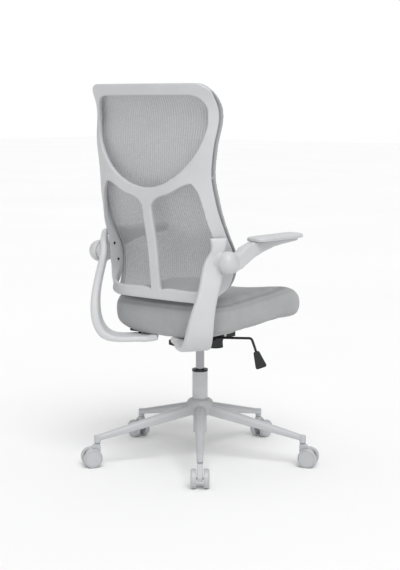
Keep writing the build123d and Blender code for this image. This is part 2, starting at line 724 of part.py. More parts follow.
# ====================================================================================================
# Armrests
# ====================================================================================================
def make_arm(side):
    """One flip-up armrest: the pivot pin, the bar with its round knuckle and the pad."""
    across = Plane(origin=(ARM_INNER, 0, 0), x_dir=(0, 1, 0), z_dir=(1, 0, 0))
    with BuildPart() as bar:
        with BuildSketch(across):
            with BuildLine():
                Line((190, 711), (170, 713))
                ThreePointArc((170, 713), (148, 718), (127, PAD_BOTTOM - 1))
                Polyline((127, PAD_BOTTOM - 1), (119, PAD_BOTTOM), (-132, PAD_BOTTOM), (-138, 729), (-132, 725))
                Spline((-132, 725), (-86, 723), (-28, 720), (18, 714), (63, 705), (113, 685), (176, 651))
                Line((176, 651), (190, 711))
            make_face()
        extrude(amount=ARM_OUTER - ARM_INNER)
        with Locations(Plane(origin=(ARM_INNER, ARM_PIVOT_Y, ARM_PIVOT_Z), z_dir=(1, 0, 0))):
            Cylinder(KNUCKLE_RADIUS, ARM_OUTER - ARM_INNER, align=LOW)
        with Locations(Plane(origin=(ARM_OUTER - 1, ARM_PIVOT_Y, ARM_PIVOT_Z), z_dir=(1, 0, 0))):
            Cylinder(25, 2, align=LOW, mode=Mode.SUBTRACT)
            Cylinder(24, 1, align=LOW)
        with Locations(Plane(origin=(ARM_INNER, ARM_PIVOT_Y, ARM_PIVOT_Z), z_dir=(1, 0, 0))):
            Cylinder(ARM_PIN_RADIUS + RUNNING, 28, align=LOW, mode=Mode.SUBTRACT)
    with BuildPart() as pad:
        with BuildSketch(Plane.XY.offset(PAD_BOTTOM)):
            with Locations(((PAD_INNER + PAD_OUTER) / 2, (PAD_FRONT + PAD_REAR) / 2)):
                RectangleRounded(PAD_OUTER - PAD_INNER, PAD_REAR - PAD_FRONT, 24)
        extrude(amount=PAD_TOP - PAD_BOTTOM)
        fillet(pad.faces().sort_by(Axis.Z)[-1].edges(), 6)
        fillet(pad.faces().sort_by(Axis.Z)[0].edges(), 3)
    with BuildPart() as pin:
        with Locations(Plane(origin=(236, ARM_PIVOT_Y, ARM_PIVOT_Z), z_dir=(1, 0, 0))):
            Cylinder(ARM_PIN_RADIUS, 47, align=LOW)
    for piece, label in ((bar.part, "armrest"), (pad.part, "arm_pad"), (pin.part, "arm_pin")):
        if side == "right":
            piece = mirror(piece, about=Plane.YZ)
        save(piece, f"{label}_{side}")


make_base_star()
make_stem_sleeves()
make_column()
make_gas_lift()
for number, leg in enumerate(leg_frames(), start=1):
    make_caster(number, leg)
make_housing()
make_tension()
make_lever()
bolts = make_seat()
slab = shell_slab()
screws = make_wing_screws()
make_back(slab, screws)
for hand in ("left", "right"):
    make_upright(hand, slab, bolts, screws)
    make_arm(hand)
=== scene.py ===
"""High-back mesh office chair: looks for the CAD frame.

Metres, +Z up, origin on the floor under the column axis, the chair faces -Y.
"""
import json
import math

import bmesh
import bpy
import numpy as np
from mathutils import Matrix, Vector
from mathutils.bvhtree import BVHTree


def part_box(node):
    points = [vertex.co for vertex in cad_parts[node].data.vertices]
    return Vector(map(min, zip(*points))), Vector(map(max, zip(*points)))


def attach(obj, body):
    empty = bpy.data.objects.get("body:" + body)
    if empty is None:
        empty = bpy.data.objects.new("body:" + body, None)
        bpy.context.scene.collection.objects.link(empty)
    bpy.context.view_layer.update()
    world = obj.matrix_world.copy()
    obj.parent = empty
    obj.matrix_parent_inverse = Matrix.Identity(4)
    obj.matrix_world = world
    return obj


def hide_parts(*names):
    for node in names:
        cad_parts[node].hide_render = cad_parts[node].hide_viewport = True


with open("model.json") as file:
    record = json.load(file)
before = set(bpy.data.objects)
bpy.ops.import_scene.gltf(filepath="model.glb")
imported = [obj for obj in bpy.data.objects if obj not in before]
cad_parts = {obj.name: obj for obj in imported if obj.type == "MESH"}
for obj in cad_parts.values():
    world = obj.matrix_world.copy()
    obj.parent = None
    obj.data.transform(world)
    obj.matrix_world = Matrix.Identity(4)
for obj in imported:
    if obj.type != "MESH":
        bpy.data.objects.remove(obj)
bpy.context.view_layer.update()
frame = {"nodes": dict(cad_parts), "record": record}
NODES = frame["nodes"]

# ---- driving dimensions, metres -------------------------------------------------------------------
SEAT_PITCH = math.radians(4.5)
SEAT_Z = 0.4465
SEAT_MIDDLE_Y = -0.040
SEAT_HALF = (0.245, 0.235)
SEAT_CORNER = 0.088
SEAT_HEIGHT = 0.114
SEAT_SLOPE = math.tan(SEAT_PITCH)
SEAT_SAG = 0.011
SEAT_NOSE = 0.016
FAR_OUT = (0.0, 0.9)
PLATE_THICK = 0.004
FOOT_THICK = 0.048
FOOT_TRIM = 0.021
ARM_AXIS = (0.187, 0.680)
ARM_TOP_STATIONS = (0.12, 0.15, 0.18)
ARM_BOTTOM_STATIONS = (-0.03, 0.03, 0.06, 0.12, 0.18)
ARM_STATION_REACH = 0.012
ARM_REAR_TOP = (0.21, 0.700)
ARM_TIP_BOTTOM = (-0.12, 0.724)
RIB_DEPTH = 0.0005
MESH_ROWS, MESH_RIBS = 110, 54
SCREW_SIDES = 24
WORLD_LIGHT = 0.66
CAMERA_TURN = math.radians(40.0)
CAMERA_DISTANCE = 4.4
CAMERA_HEIGHT = 1.1546
CAMERA_PITCH = math.radians(7.565)
LENS = 86.9


# ====================================================================================================
# Materials
# ====================================================================================================
class Nodes:
    """A short way to build a node tree."""

    def __init__(self, name):
        self.material = bpy.data.materials.new(name)
        self.material.use_nodes = True
        self.tree = self.material.node_tree
        self.shader = self.tree.nodes["Principled BSDF"]
        self.coords = self.add("ShaderNodeTexCoord").outputs["Object"]

    def add(self, kind, **inputs):
        node = self.tree.nodes.new(kind)
        for key, value in inputs.items():
            self.put(node.inputs[key.replace("_", " ")], value)
        return node

    def put(self, socket, value):
        if isinstance(value, bpy.types.NodeSocket):
            self.tree.links.new(value, socket)
        else:
            socket.default_value = value

    def noise(self, scale, detail=2.0, rough=0.5):
        node = self.add(
            "ShaderNodeTexNoise", Vector=self.coords, Scale=scale, Detail=detail, Roughness=rough,
        )
        return node.outputs["Fac"]

    def cells(self, scale, feature="F1"):
        node = self.add("ShaderNodeTexVoronoi", Vector=self.coords, Scale=scale)
        node.feature = feature
        return node.outputs["Distance"]

    def math(self, operation, a, b=0.0):
        node = self.add("ShaderNodeMath")
        node.operation = operation
        self.put(node.inputs[0], a)
        self.put(node.inputs[1], b)
        return node.outputs[0]

    def ramp(self, value, stops):
        node = self.add("ShaderNodeValToRGB", Fac=value)
        elements = node.color_ramp.elements
        while len(elements) < len(stops):
            elements.new(0.5)
        for element, (place, colour) in zip(elements, stops):
            element.position = place
            element.color = (*colour, 1.0) if len(colour) == 3 else colour
        return node.outputs["Color"]

    def bump(self, height, strength, distance):
        node = self.add("ShaderNodeBump", Height=height, Strength=strength, Distance=distance)
        self.put(self.shader.inputs["Normal"], node.outputs["Normal"])


def shade(colour, factor):
    return tuple(min(1.0, c * factor) for c in colour)


def plastic(name, colour, roughness, grain=1400.0, depth=0.00012):
    """Moulded plastic: a fine spark-eroded grain, faint flow mottling and slightly uneven gloss."""
    n = Nodes(name)
    mottling = n.noise(9.0, 3.0)
    tones = [(0.3, shade(colour, 0.965)), (0.7, shade(colour, 1.03))]
    n.put(n.shader.inputs["Base Color"], n.ramp(mottling, tones))
    fine = n.noise(grain, 2.0)
    n.put(n.shader.inputs["Roughness"], n.math("MULTIPLY_ADD", n.noise(60.0, 2.0), 0.12))
    n.shader.inputs["Roughness"].links[0].from_node.inputs[2].default_value = roughness - 0.06
    n.bump(fine, 0.35, depth)
    return n.material


def metal(name, colour, roughness, brushed=0.0):
    """Bare or chromed metal with faint drawing marks along the axis and small gloss changes."""
    n = Nodes(name)
    n.shader.inputs["Metallic"].default_value = 1.0
    tones = [(0.3, shade(colour, 0.95)), (0.7, colour)]
    n.put(n.shader.inputs["Base Color"], n.ramp(n.noise(30.0), tones))
    n.put(n.shader.inputs["Roughness"], n.math("MULTIPLY_ADD", n.noise(240.0, 3.0), 0.10))
    n.shader.inputs["Roughness"].links[0].from_node.inputs[2].default_value = roughness - 0.05
    n.bump(n.noise(900.0, 2.0), 0.1 + brushed, 0.00005)
    return n.material


def paint(name, colour, roughness):
    """Powder coat: satin, with a soft orange-peel surface."""
    n = Nodes(name)
    tones = [(0.3, shade(colour, 0.95)), (0.7, shade(colour, 1.05))]
    n.put(n.shader.inputs["Base Color"], n.ramp(n.noise(25.0), tones))
    n.shader.inputs["Roughness"].default_value = roughness
    n.bump(n.noise(420.0, 2.0), 0.3, 0.0002)
    return n.material


def woven(name, colour):
    """Seat cloth: a close plain weave of slightly heathered yarn, with painted shade darkening it down
    in its two creases.
    """
    n = Nodes(name)
    nub = n.cells(780.0)
    heather = n.noise(340.0, 4.0, 0.65)
    soft = n.noise(14.0, 3.0)
    tone = n.math("ADD", n.math("MULTIPLY", heather, 0.6), n.math("MULTIPLY", soft, 0.4))
    base = n.ramp(tone, [(0.35, shade(colour, 0.90)), (0.65, shade(colour, 1.08))])
    # Painted shade: a per-point attribute mixes the cloth towards a dark grey in the cover's creases.
    crease_shade = n.add("ShaderNodeAttribute")
    crease_shade.attribute_name = "crease_shade"
    mix = n.add("ShaderNodeMix")
    mix.data_type = "RGBA"
    n.put(mix.inputs[0], crease_shade.outputs["Fac"])
    n.put(mix.inputs[6], base)
    n.put(mix.inputs[7], (*shade(colour, 0.42), 1.0))
    n.put(n.shader.inputs["Base Color"], mix.outputs[2])
    n.shader.inputs["Roughness"].default_value = 0.92
    n.shader.inputs["Sheen Weight"].default_value = 0.25
    n.shader.inputs["Sheen Roughness"].default_value = 0.5
    n.bump(n.math("ADD", nub, n.math("MULTIPLY", heather, 0.5)), 0.55, 0.0006)
    return n.material


def netting(name, colour):
    """Open mesh cloth: raised ribs lighter and sunk ribs darker from the piece's own attribute (painted
    light and shade), and rows of small holes.
    """
    n = Nodes(name)
    parts = n.add("ShaderNodeSeparateXYZ", Vector=n.coords)
    rib = n.math("SINE", n.math("MULTIPLY", parts.outputs["X"], 2 * math.pi / 0.0015))
    row = n.math("SINE", n.math("MULTIPLY", parts.outputs["Z"], 2 * math.pi / 0.0013))
    open_part = n.math("MULTIPLY", n.math("MAXIMUM", rib, 0.0), n.math("MAXIMUM", row, 0.0))
    hole = n.math("GREATER_THAN", open_part, 0.30)
    n.put(n.shader.inputs["Alpha"], n.math("SUBTRACT", 1.0, n.math("MULTIPLY", hole, 0.85)))
    # Painted light and shade: the raised ribs are coloured lighter and the sunk ones darker.
    ridge_shading = n.add("ShaderNodeAttribute")
    ridge_shading.attribute_name = "ridge_shading"
    soft = n.math("MULTIPLY", n.noise(7.0, 3.0), 0.35)
    tone = n.math("ADD", soft, n.math("MULTIPLY", ridge_shading.outputs["Fac"], 0.65))
    tones = [(0.1, shade(colour, 0.76)), (0.9, shade(colour, 1.20))]
    n.put(n.shader.inputs["Base Color"], n.ramp(tone, tones))
    n.shader.inputs["Roughness"].default_value = 0.75
    n.bump(rib, 0.35, 0.0004)
    return n.material


GREY = plastic("frame_plastic", (0.56, 0.565, 0.575), 0.42)
RIM_GREY = plastic("rim_plastic", (0.36, 0.365, 0.375), 0.45)
BASE_GREY = plastic("base_plastic", (0.47, 0.48, 0.495), 0.40)
PAD_GREY = plastic("pad_moulding", (0.56, 0.57, 0.585), 0.55, 1100.0, 0.0002)
WHEEL_GREY = plastic("wheel_plastic", (0.46, 0.47, 0.485), 0.38)
BLACK = plastic("black_plastic", (0.008, 0.008, 0.009), 0.45)
TUBE = paint("tube_paint", (0.56, 0.57, 0.585), 0.35)
BLACK_STEEL = paint("black_steel", (0.008, 0.008, 0.009), 0.5)
CHROME = metal("chrome", (0.36, 0.36, 0.38), 0.16)
STEEL = metal("steel", (0.45, 0.45, 0.46), 0.32, 0.1)
CLOTH = woven("seat_cloth", (0.36, 0.365, 0.37))
MESH = netting("mesh_cloth", (0.42, 0.425, 0.44))

SLOT_MATERIAL = {
    "frame_grey": GREY, "base_grey": BASE_GREY, "tube_paint": TUBE, "black_plastic": BLACK,
    "black_steel": BLACK_STEEL, "chrome": CHROME, "steel": STEEL, "mesh": MESH, "seat_fabric": CLOTH,
    "pad": PAD_GREY, "wheel": WHEEL_GREY,
}


# ====================================================================================================
# CAD nodes that stay: material, smooth shading and softened edges
# ====================================================================================================
def crisp(node, width, angle=35.0):
    """Machined and pressed parts keep their edges, softened by a small bevel."""
    bevel = node.modifiers.new("edge", "BEVEL")
    bevel.width = width
    bevel.segments = 2
    bevel.limit_method = "ANGLE"
    bevel.angle_limit = math.radians(angle)
    bevel.use_clamp_overlap = True
    split = node.modifiers.new("split", "EDGE_SPLIT")
    split.split_angle = math.radians(32)


SLOT_OF = {entry["node"]: entry["material_slot"] for entry in frame["record"]["subparts"]}


def vertices(piece):
    flat = np.empty(len(piece.data.vertices) * 3)
    piece.data.vertices.foreach_get("co", flat)
    return flat.reshape(-1, 3)


def set_vertices(piece, places):
    piece.data.vertices.foreach_set("co", np.ascontiguousarray(places).ravel())
    piece.data.update()


def apply_modifiers(piece):
    """Turns a piece's modifiers into its mesh."""
    depsgraph = bpy.context.evaluated_depsgraph_get()
    depsgraph.update()
    data = bpy.data.meshes.new_from_object(piece.evaluated_get(depsgraph))
    piece.modifiers.clear()
    piece.data = data
    return piece


def relax(piece, rounds, share=1.0):
    """Rounds a surface off: each point moves towards the middle of its neighbours."""
    places = vertices(piece)
    edges = np.empty(len(piece.data.edges) * 2, np.int32)
    piece.data.edges.foreach_get("vertices", edges)
    a, b = edges.reshape(-1, 2).T
    count = len(places)
    degree = np.maximum(np.bincount(a, minlength=count) + np.bincount(b, minlength=count), 1)
    for _ in range(rounds):
        for axis in range(3):
            total = np.bincount(a, places[b, axis], count) + np.bincount(b, places[a, axis], count)
            places[:, axis] += 0.5 * share * (total / degree - places[:, axis])
    set_vertices(piece, places)


def finish_piece(piece, material, body, attributes=None):
    """Smooth shading, a material, and the body that the piece rides on."""
    for key, values in (attributes or {}).items():
        layer = piece.data.attributes.new(key, "FLOAT", "POINT")
        layer.data.foreach_set("value", np.asarray(values, np.float32))
    piece.data.polygons.foreach_set("use_smooth", [True] * len(piece.data.polygons))
    piece.data.materials.clear()
    piece.data.materials.append(material)
    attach(piece, body)


def skin(name, node, voxel, rounds, share=None):
    """A moulded piece over a CAD node: the same shape with the generous radii of a moulding."""
    piece = bpy.data.objects.new(name, NODES[node].data.copy())
    bpy.context.collection.objects.link(piece)
    remesh = piece.modifiers.new("skin", "REMESH")
    remesh.mode = "VOXEL"
    remesh.voxel_size = voxel
    apply_modifiers(piece)
    relax(piece, rounds, 1.0 if share is None else share(vertices(piece)))
    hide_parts(node)
    return piece


for name, node in NODES.items():
    node.data.materials.clear()
    node.data.materials.append(SLOT_MATERIAL[SLOT_OF[name]])
    node.data.polygons.foreach_set("use_smooth", [True] * len(node.data.polygons))
    crisp(node, 0.0006)


# ====================================================================================================
# Moulded pieces
# ====================================================================================================
def thin_foot(piece):
    """Thins each upright's foot under the seat, most at its lowest part."""
    places = vertices(piece)
    under = np.clip(SEAT_Z - SEAT_SLOPE * places[:, 1] - PLATE_THICK - places[:, 2], 0, FOOT_THICK)
    places[:, 2] += FOOT_TRIM * (under / FOOT_THICK) ** 1.7
    set_vertices(piece, places)


def ramp_between(values, start, end):
    """0 at start, 1 at end, smooth between, for a whole array."""
    share = np.clip((values - start) / (end - start), 0, 1)
    return share * share * (3 - 2 * share)


def heights(node, stations, pick):
    """The solid's own highest or lowest point near each station along it, by pick."""
    places = vertices(NODES[node])
    near = [np.abs(places[:, 1] - station) < ARM_STATION_REACH for station in stations]
    return [pick(places[mask, 2]) for mask in near]


def shape_arm(piece, node):
    """Rounds the hinge boss into a bulb and deepens the arm where it leaves the boss."""
    places = vertices(piece)
    across, along, up = np.abs(places[:, 0]), places[:, 1], places[:, 2]
    y, z = along - ARM_AXIS[0], up - ARM_AXIS[1]
    radius = np.hypot(y, z)
    boss = 1 - ramp_between(radius, 0.034, 0.046)
    outer = np.clip((across - 0.262) / 0.030, 0, 1)
    shrink = 1 + boss * (0.10 - 0.42 * outer**2.4)
    out = 0.008 * boss * outer * np.clip(1 - (radius / 0.036) ** 2, 0, 1)
    reach = -y
    tops = (*heights(node, ARM_TOP_STATIONS, np.max), ARM_REAR_TOP[1])
    top = np.interp(along, (*ARM_TOP_STATIONS, ARM_REAR_TOP[0]), tops)
    bottoms = (ARM_TIP_BOTTOM[1], *heights(node, ARM_BOTTOM_STATIONS, np.min))
    bottom = np.interp(along, (ARM_TIP_BOTTOM[0], *ARM_BOTTOM_STATIONS), bottoms)
    depth = np.clip((top - up) / (top - bottom), 0, 1)
    over = np.interp(reach, (0.0, 0.03, 0.065, 0.103), (0.0, 0.010, 0.012, 0.0))
    beneath = np.interp(reach, (0.0, 0.03, 0.12, 0.20, 0.30), (0.002, 0.010, 0.014, 0.007, 0.002))
    drop = over * (1 - depth) + beneath * depth
    places[:, 1] = ARM_AXIS[0] + y * shrink
    places[:, 2] = ARM_AXIS[1] + z * shrink - drop
    places[:, 0] = np.sign(places[:, 0]) * (across + out)
    set_vertices(piece, places)


def make_frame():
    """Rear shell, mesh carrier, uprights and their bolts, arms, base, caster hoods and lever grip."""
    shell = skin("back_shell", "back_frame", 0.0021, 8)
    finish_piece(shell, GREY, "seat")
    carrier = skin("mesh_rim", "mesh_carrier", 0.0018, 4)
    finish_piece(carrier, RIM_GREY, "seat")
    for side in ("left", "right"):
        upright = skin(f"upright_moulding_{side}", f"upright_{side}", 0.0022, 16)
        thin_foot(upright)
        finish_piece(upright, GREY, "seat")
        arm = skin(
            f"arm_moulding_{side}", f"armrest_{side}", 0.0017, 26,
            lambda p: np.clip((p[:, 1] + 0.09) / 0.16, 0.12, 1.0),
        )
        shape_arm(arm, f"armrest_{side}")
        finish_piece(arm, GREY, f"arm_{side}")
    bolts = bpy.data.objects.new("foot_bolts", NODES["upright_bolts"].data.copy())
    bpy.context.collection.objects.link(bolts)
    thin_foot(bolts)
    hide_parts("upright_bolts")
    finish_piece(bolts, SLOT_MATERIAL[SLOT_OF["upright_bolts"]], "seat")
    crisp(bolts, 0.0004)
    star = skin("base_moulding", "base_star", 0.0017, 5)
    finish_piece(star, BASE_GREY, "base")
    for number in range(1, 6):
        hood = skin(f"caster_shroud_{number}", f"caster_hood_{number}", 0.0010, 6)
        finish_piece(hood, BASE_GREY, f"caster_{number}")
    paddle = skin("lever_grip", "lever_paddle", 0.0009, 6)
    finish_piece(paddle, BLACK, "lever")


make_frame()


# ====================================================================================================
# Soft and shaped pieces
# ====================================================================================================
def rounded_ring(half_x, half_y, corner, count):
    """Points and outward normals round a rectangle with rounded corners, evenly along its edge."""
    corner = min(corner, half_x, half_y)
    points, normals = [], []
    for sx, sy, start in ((1, 1, 0), (-1, 1, 90), (-1, -1, 180), (1, -1, 270)):
        for k in range(24):
            a = math.radians(start + 90 * (k + 0.5) / 24)
            normals.append((math.cos(a), math.sin(a)))
            x = sx * (half_x - corner) + corner * math.cos(a)
            y = sy * (half_y - corner) + corner * math.sin(a)
            points.append((x, y))
    p, n = np.array(points), np.array(normals)
    loop = np.vstack([p, p[:1]])
    lengths = np.concatenate([[0], np.cumsum(np.linalg.norm(np.diff(loop, axis=0), axis=1))])
    steps = np.linspace(0, lengths[-1], count, endpoint=False)
    out = np.column_stack([np.interp(steps, lengths, loop[:, i]) for i in (0, 1)])
    turned = np.vstack([n, n[:1]])
    facing = np.column_stack([np.interp(steps, lengths, turned[:, i]) for i in (0, 1)])
    return out, facing / np.linalg.norm(facing, axis=1)[:, None]


def lofted_pad(name, half_x, half_y, corner, profile, top, count=160):
    """A closed pad: profile holds (inset, height) from the underside's edge up to the top's edge, and
    top(x, y) gives the height of the top surface inside it. The profile is drawn for the height at
    FAR_OUT, where there is no dish, and follows the top down elsewhere."""
    ring, facing = rounded_ring(half_x, half_y, corner, count)
    mesh = bmesh.new()
    loops = []
    lowest = profile[0][1]
    full = top(*FAR_OUT)
    for share in (0.25, 0.6, 0.9):
        edge = (ring - facing * profile[0][0]) * share
        loops.append([mesh.verts.new((x, y, lowest)) for x, y in edge])
    for inset, height in profile:
        edge = ring - facing * inset
        loops.append([mesh.verts.new((x, y, height * top(x, y) / full)) for x, y in edge])
    rim = ring - facing * profile[-1][0]
    for share in (0.93, 0.84, 0.72, 0.58, 0.42, 0.25, 0.1):
        loops.append([mesh.verts.new((x, y, top(x, y))) for x, y in rim * share])
    for low, high in zip(loops, loops[1:]):
        for i in range(count):
            j = (i + 1) % count
            mesh.faces.new((low[i], low[j], high[j], high[i]))
    mesh.faces.new(list(reversed(loops[0])))
    mesh.faces.new(loops[-1])
    bmesh.ops.triangulate(mesh, faces=[f for f in mesh.faces if len(f.verts) > 4])
    data = bpy.data.meshes.new(name)
    mesh.to_mesh(data)
    mesh.free()
    piece = bpy.data.objects.new(name, data)
    bpy.context.collection.objects.link(piece)
    data.polygons.foreach_set("use_smooth", [True] * len(data.polygons))
    return piece


def swell(piece, voxel, pressure, cap):
    """Pads the piece: a short cloth simulation under pressure. No point moves further than cap."""
    remesh = piece.modifiers.new("grid", "REMESH")
    remesh.mode = "VOXEL"
    remesh.voxel_size = voxel
    apply_modifiers(piece)
    start = vertices(piece)
    cloth = piece.modifiers.new("cloth", "CLOTH")
    cloth.settings.use_pressure = True
    cloth.settings.uniform_pressure_force = pressure
    cloth.settings.quality = 5
    cloth.settings.effector_weights.gravity = 0.0
    scene = bpy.context.scene
    for number in range(1, 21):
        scene.frame_set(number)
    apply_modifiers(piece)
    scene.frame_set(1)
    moved = vertices(piece) - start
    far = np.linalg.norm(moved, axis=1)[:, None]
    set_vertices(piece, start + moved * np.minimum(1.0, cap / np.maximum(far, 1e-9)))


def ease(value):
    value = min(1.0, max(0.0, value))
    return value * value * (3 - 2 * value)


def seat_height(x, y):
    """The seat's top: its sides stand above a dish that opens out over a lower front edge."""
    front = ease((-y - 0.05) / 0.18)
    dish = (0.014 + 0.013 * front) * max(0.0, 1 - (x / 0.20) ** 2) * ease((0.235 - y) / 0.12)
    return 0.1115 - 0.023 * front - dish


def seat_sag(x, y):
    """How far the cover hangs down under the rear of the seat."""
    return SEAT_SAG * ramp_between(y, 0.075, 0.17) * np.clip(1 - (x / 0.20) ** 2, 0, 1)


def gap_to_edge(places, ring, facing):
    """Each point's distance inside the plan outline, and the outward direction there."""
    gap = np.empty(len(places))
    side = np.empty((len(places), 2))
    for first in range(0, len(places), 4000):
        part = places[first:first + 4000, :2]
        every = np.einsum("ijk,ijk->ij", part[:, None] - ring, part[:, None] - ring)
        near = every.argmin(axis=1)
        side[first:first + 4000] = facing[near]
        gap[first:first + 4000] = np.einsum("ij,ij->i", ring[near] - part, facing[near])
    return gap, side


def make_cushion():
    """The seat: foam under one cover, with two soft creases round the top edge."""
    half_x, half_y = SEAT_HALF[0] - 0.003, SEAT_HALF[1] - 0.003
    profile = [
        (0.030, 0.0), (0.018, 0.0), (0.010, 0.002), (0.005, 0.007), (0.002, 0.016), (0.0, 0.032),
        (-0.001, 0.052), (0.0, 0.070), (0.003, 0.084), (0.008, 0.095), (0.016, 0.103),
        (0.028, 0.1085), (0.044, 0.111),
    ]
    piece = lofted_pad("seat_cover", half_x, half_y, SEAT_CORNER, profile, seat_height)
    places = vertices(piece)
    ring, facing = rounded_ring(half_x, half_y, SEAT_CORNER, 400)
    gap, side = gap_to_edge(places, ring, facing)
    front = np.clip(-side[:, 1], 0, 1) * (gap < 0.06)
    height = places[:, 2] / SEAT_HEIGHT
    roll = 0.030 * np.clip((height - 0.45) / 0.55, 0, 1) ** 2
    roll += 0.012 * np.clip((0.3 - height) / 0.3, 0, 1) ** 2
    places[:, :2] -= side * (front * roll * np.clip(1 - gap / 0.06, 0, 1))[:, None]
    x, y = places[:, 0], places[:, 1]
    lower = np.clip(1 - places[:, 2] / 0.060, 0, 1)
    sag = seat_sag(x, y)
    tuck = 0.015 * ramp_between(np.abs(x), 0.10, 0.22) * (1 - 0.8 * ramp_between(-y, 0.06, 0.22))
    chin = 0.004 * ramp_between(-y, 0.20, 0.235)
    places[:, 2] += lower * (tuck + chin - sag)
    places[:, 1] -= SEAT_NOSE * ramp_between(-y, 0.05, 0.235)
    set_vertices(piece, places)
    swell(piece, 0.006, 4.0, 0.006)
    relax(piece, 4)
    refine = piece.modifiers.new("refine", "SUBSURF")
    refine.levels = 1
    apply_modifiers(piece)
    places = vertices(piece)
    gap, side = gap_to_edge(places, ring, facing)
    sag = seat_sag(places[:, 0], places[:, 1])
    board = 0.003 * ramp_between(gap, 0.030, 0.060) - sag - 0.002
    places[:, 2] = np.maximum(places[:, 2], board)
    # Each crease is pressed in and also gets painted shade, kept as a per-point attribute for the
    # cloth.
    crease_shade = np.zeros(len(places))
    for level, depth, width, tone in ((0.101, 0.0020, 0.0038, 0.42), (0.090, 0.0012, 0.0042, 0.18)):
        line = np.exp(-(((places[:, 2] - level) / width) ** 2)) * (gap < 0.05)
        places[:, :2] -= side * (line * depth)[:, None]
        crease_shade = np.maximum(crease_shade, line * tone)
    tilt = np.array(Matrix.Rotation(-SEAT_PITCH, 3, "X"))
    turned = (tilt @ (places + np.array([0, SEAT_MIDDLE_Y, 0])).T).T
    set_vertices(piece, turned + np.array([0, 0, SEAT_Z]))
    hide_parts("seat_cushion")
    finish_piece(piece, CLOTH, "seat", {"crease_shade": crease_shade})


def make_pan():
    """The black seat pan, drawn in under the cover so that only its front edge shows."""
    piece = bpy.data.objects.new("pan_moulding", NODES["seat_pan"].data.copy())
    bpy.context.collection.objects.link(piece)
    places = vertices(piece)
    share = 1 - 0.8 * ramp_between(-places[:, 1], 0.06, 0.22)
    places[:, 2] += 0.012 * ramp_between(np.abs(places[:, 0]), 0.11, 0.21) * share
    places[:, 0] *= 0.90
    set_vertices(piece, places)
    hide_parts("seat_pan")
    slot = SLOT_OF["seat_pan"]
    finish_piece(piece, SLOT_MATERIAL[slot], "seat")
    crisp(piece, 0.0006)


def make_arm_pad(side):
    """One arm pad: a thin soft moulding, crowned on top, with a parting line round its edge."""
    low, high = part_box(f"arm_pad_{side}")
    low, high = Vector(low), Vector(high)
    low.y -= 0.004
    high.y -= 0.036
    half = ((high[0] - low[0]) / 2, (high[1] - low[1]) / 2)
    middle = ((high[0] + low[0]) / 2, (high[1] + low[1]) / 2)
    thick = high[2] - low[2]
    profile = [
        (0.008, 0.0), (0.003, 0.0006), (0.0006, 0.002), (0.0, 0.0042), (0.0, 0.0050),
        (0.0011, 0.0054), (0.0011, 0.0060), (0.0, 0.0064), (0.0004, 0.0095), (0.0022, 0.0122),
        (0.006, 0.0136), (0.011, 0.0142),
    ]
    profile = [(inset, height / 0.014 * thick) for inset, height in profile]

    def crown(x, y):
        return thick * 1.015 + 0.0012 * max(0.0, 1 - (x / half[0]) ** 2)

    piece = lofted_pad(f"arm_cushion_{side}", half[0], half[1], 0.028, profile, crown, 120)
    places = vertices(piece)
    set_vertices(piece, places + np.array([middle[0], middle[1], low[2]]))
    refine = piece.modifiers.new("refine", "SUBSURF")
    refine.levels = refine.render_levels = 1
    apply_modifiers(piece)
    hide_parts(f"arm_pad_{side}")
    finish_piece(piece, PAD_GREY, f"arm_{side}")


def search_tree(piece):
    corners = [v.co for v in piece.data.vertices]
    return BVHTree.FromPolygons(corners, [p.vertices for p in piece.data.polygons])


def make_mesh():
    """The stretched back cloth: one surface half way through its CAD solid, with its ribs modelled.
    Each row spans the solid's width there, so the ribs bow with the outline."""
    solid = NODES["mesh_panel"]
    tree = search_tree(solid)
    low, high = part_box("mesh_panel")

    def middle(x, z):
        front = tree.ray_cast(Vector((x, low[1] - 0.1, z)), Vector((0, 1, 0)))[0]
        rear = tree.ray_cast(Vector((x, high[1] + 0.1, z)), Vector((0, -1, 0)))[0]
        return None if front is None or rear is None else (front.y + rear.y) / 2

    def edge(z, sign):
        inner, outer = 0.0, 0.30
        for _ in range(12):
            half = (inner + outer) / 2
            if middle(sign * half, z) is None:
                outer = half
            else:
                inner = half
        return sign * inner

    rows, ribs = MESH_ROWS, MESH_RIBS
    ridge_shading = []
    mesh = bmesh.new()
    loops = []
    last_y = middle(0.0, (low[2] + high[2]) / 2)
    for i in range(rows + 1):
        share = i / rows
        z = low[2] + 0.0008 + (high[2] - low[2] - 0.0016) * share
        left, right = edge(z, -1), edge(z, 1)
        loop = []
        for k in range(2 * ribs + 1):
            x = left + (right - left) * (0.002 + 0.996 * k / (2 * ribs))
            inward = (middle(x * share_in, z) for share_in in (1.0, 0.99, 0.97, 0.94, 0.90, 0.80, 0.50))
            y = next((place for place in inward if place is not None), last_y)
            last_y = y
            loop.append(mesh.verts.new((x, y + (RIB_DEPTH if k % 2 else -RIB_DEPTH), z)))
            # Raised and sunk ribs are flagged so that the cloth puts painted light on the first and
            # painted shade on the second.
            ridge_shading.append(k % 2)
        loops.append(loop)
    for lower, upper in zip(loops, loops[1:]):
        for k in range(2 * ribs):
            mesh.faces.new((lower[k], lower[k + 1], upper[k + 1], upper[k]))
    data = bpy.data.meshes.new("mesh_cloth")
    mesh.to_mesh(data)
    mesh.free()
    piece = bpy.data.objects.new("mesh_cloth", data)
    bpy.context.collection.objects.link(piece)
    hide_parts("mesh_panel")
    finish_piece(piece, MESH, "seat", {"ridge_shading": ridge_shading})


